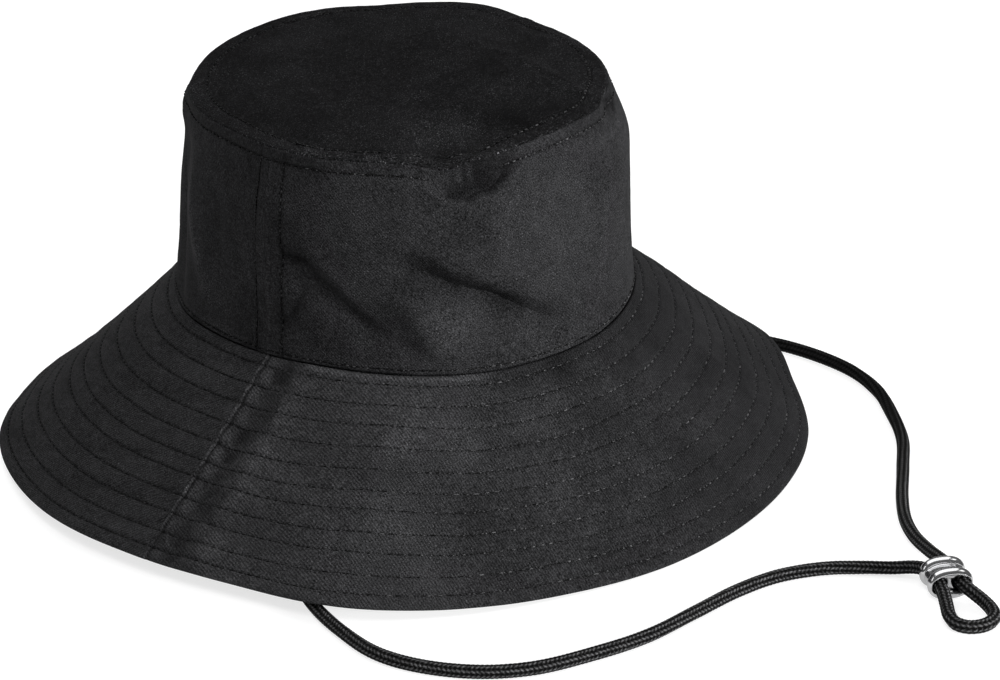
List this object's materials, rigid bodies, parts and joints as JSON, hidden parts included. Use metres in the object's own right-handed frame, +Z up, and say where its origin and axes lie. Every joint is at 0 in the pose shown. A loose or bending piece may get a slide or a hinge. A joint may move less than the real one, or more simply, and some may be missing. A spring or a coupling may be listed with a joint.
{
  "type": "sun hat",
  "caption": "Black cloth sun hat with a bucket crown, a wide stitched brim, a loose round braided chin cord and a bright metal cord lock",
  "frame": {"origin": "On the surface that the hat stands on, under the middle of the outline of the hat without its cord and lock", "axes": "+Z up; the hat's front faces -Y; its side seams run down at +X and -X; the cord lies on the surface in front of the brim, with its lock at -Y"},
  "size_m": [0.3249, 0.4372, 0.1491],
  "materials": {
    "hat_cloth": "matt near-black woven cloth with a fine speckle",
    "brim_cloth": "matt near-black twill with rows of stitches",
    "cord_braid": "black round braid",
    "lock_metal": "bright polished nickel plate"
  },
  "bodies": {
    "root": {"crown_top": "hat_cloth", "crown_side_front": "hat_cloth", "crown_side_back": "hat_cloth", "brim_front": "brim_cloth", "brim_back": "brim_cloth", "chin_cord": "cord_braid", "cord_lock": "lock_metal"}
  },
  "joints": []
}
